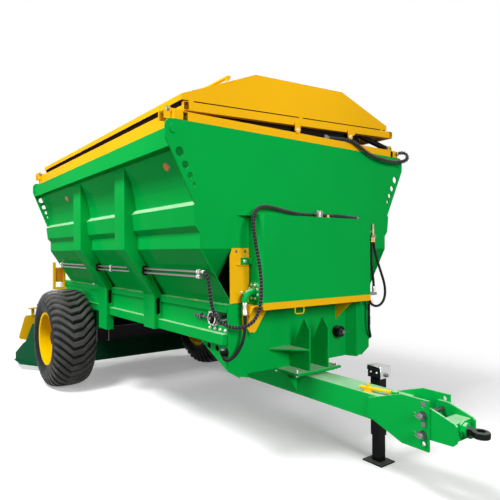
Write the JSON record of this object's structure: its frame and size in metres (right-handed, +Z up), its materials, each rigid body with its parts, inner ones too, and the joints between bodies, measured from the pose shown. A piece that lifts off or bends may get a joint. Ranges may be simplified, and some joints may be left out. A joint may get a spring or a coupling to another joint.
{
  "type": "towed manure spreader",
  "caption": "Single-axle hopper spreader with a hinged roof cover, floor conveyor, rear spinner discs, drawbar with towing eye and a parking jack.",
  "frame": {"origin": "on the ground, below the middle of the overall length and width", "axes": "+X towards the towing eye, +Y to the machine's left, +Z up"},
  "size_m": [5.9907, 2.534, 2.9247],
  "materials": {
    "body_paint": "glossy green enamel",
    "accent_paint": "glossy yellow enamel",
    "hood_paint": "satin dark green enamel",
    "black_paint": "satin black",
    "steel": "plain bright steel",
    "chrome": "polished",
    "tyre": "new black rubber",
    "rubber": "matt black"
  },
  "bodies": {
    "chassis": {"axle_beam": "black_paint", "axle_pedestals": "body_paint", "conveyor_bearings": "steel", "conveyor_chain": "steel", "conveyor_floor": "steel", "conveyor_shafts": "steel", "cover_base": "accent_paint", "drawbar_gussets": "body_paint", "drawbar_lever": "accent_paint", "drawbar_tube": "body_paint", "frame_crossbars": "body_paint", "frame_sides": "body_paint", "front_panel": "body_paint", "front_wall": "body_paint", "gate_guides": "body_paint", "guard_box": "accent_paint", "hitch_head": "body_paint", "hitch_plates": "body_paint", "hood_flaps": "accent_paint", "hose_cover": "rubber", "hose_drop": "rubber", "hose_loop": "rubber", "hose_motor": "rubber", "hose_suction": "rubber", "hose_supply": "rubber", "jack_housing": "black_paint", "lifting_ears": "body_paint", "oil_tank": "body_paint", "pipe_grommets": "rubber", "pto_collar": "black_paint", "rear_struts": "accent_paint", "rear_wall": "body_paint", "side_pipes": "steel", "side_posts": "body_paint", "side_walls": "body_paint", "spinner_gearboxes": "body_paint", "spreader_frame": "body_paint", "spreading_hood": "hood_paint", "steel_pins": "steel", "suction_flange": "body_paint", "tank_rail": "accent_paint", "top_rails": "body_paint", "towing_eye": "black_paint"},
    "wheel_left": {"tyre_left": "tyre", "rim_left": "accent_paint", "hub_left": "black_paint"},
    "wheel_right": {"tyre_right": "tyre", "rim_right": "accent_paint", "hub_right": "black_paint"},
    "cover": {"cover_frame": "accent_paint", "cover_roof": "accent_paint", "cover_rail": "accent_paint", "cover_bracket": "accent_paint"},
    "cylinder_barrel": {"cover_cylinder_barrel": "black_paint"},
    "cylinder_rod": {"cover_cylinder_rod": "chrome"},
    "gate": {"gate": "accent_paint"},
    "jack_leg": {"jack_leg": "black_paint"},
    "spinner_left": {"spinner_left": "steel"},
    "spinner_right": {"spinner_right": "steel"},
    "pto_shaft": {"pto_shaft": "steel"}
  },
  "joints": [
    {"name": "wheel_left_spin", "type": "hinge", "parent": "chassis", "child": "wheel_left", "pos_m": [-1.49, 1.024, 0.567], "axis": [0, 1, 0], "continuous": true},
    {"name": "wheel_right_spin", "type": "hinge", "parent": "chassis", "child": "wheel_right", "pos_m": [-1.49, -1.024, 0.567], "axis": [0, 1, 0], "continuous": true},
    {"name": "cover_hinge", "type": "hinge", "parent": "chassis", "child": "cover", "pos_m": [1.55, -1.222, 2.524], "axis": [1, 0, 0], "range_deg": [0, 36]},
    {"name": "cylinder_swing", "type": "hinge", "parent": "chassis", "child": "cylinder_barrel", "pos_m": [1.46, 1.165, 2.545], "axis": [1, 0, 0], "range_deg": [-30.9, 1]},
    {"name": "cylinder_slide", "type": "slide", "parent": "cylinder_barrel", "child": "cylinder_rod", "axis": [0, -0.9824, 0.187], "range_m": [-0.005, 0.658]},
    {"name": "gate_slide", "type": "slide", "parent": "chassis", "child": "gate", "axis": [0, 0, 1], "range_m": [0, 0.36]},
    {"name": "jack_slide", "type": "slide", "parent": "chassis", "child": "jack_leg", "axis": [0, 0, 1], "range_m": [0, 0.185]},
    {"name": "spinner_left_turn", "type": "hinge", "parent": "chassis", "child": "spinner_left", "pos_m": [-2.62, 0.37, 0.45], "axis": [0, 0, 1], "continuous": true},
    {"name": "spinner_right_turn", "type": "hinge", "parent": "chassis", "child": "spinner_right", "pos_m": [-2.62, -0.37, 0.45], "axis": [0, 0, 1], "continuous": true},
    {"name": "pto_turn", "type": "hinge", "parent": "chassis", "child": "pto_shaft", "pos_m": [1.55, 0.44, 0.88], "axis": [1, 0, 0], "continuous": true}
  ],
  "couplings": [
    {"joint": "cylinder_swing", "follows": "cover_hinge", "ratio": -0.83},
    {"joint": "cylinder_slide", "follows": "cover_hinge", "m_per_rad": 1.04}
  ]
}
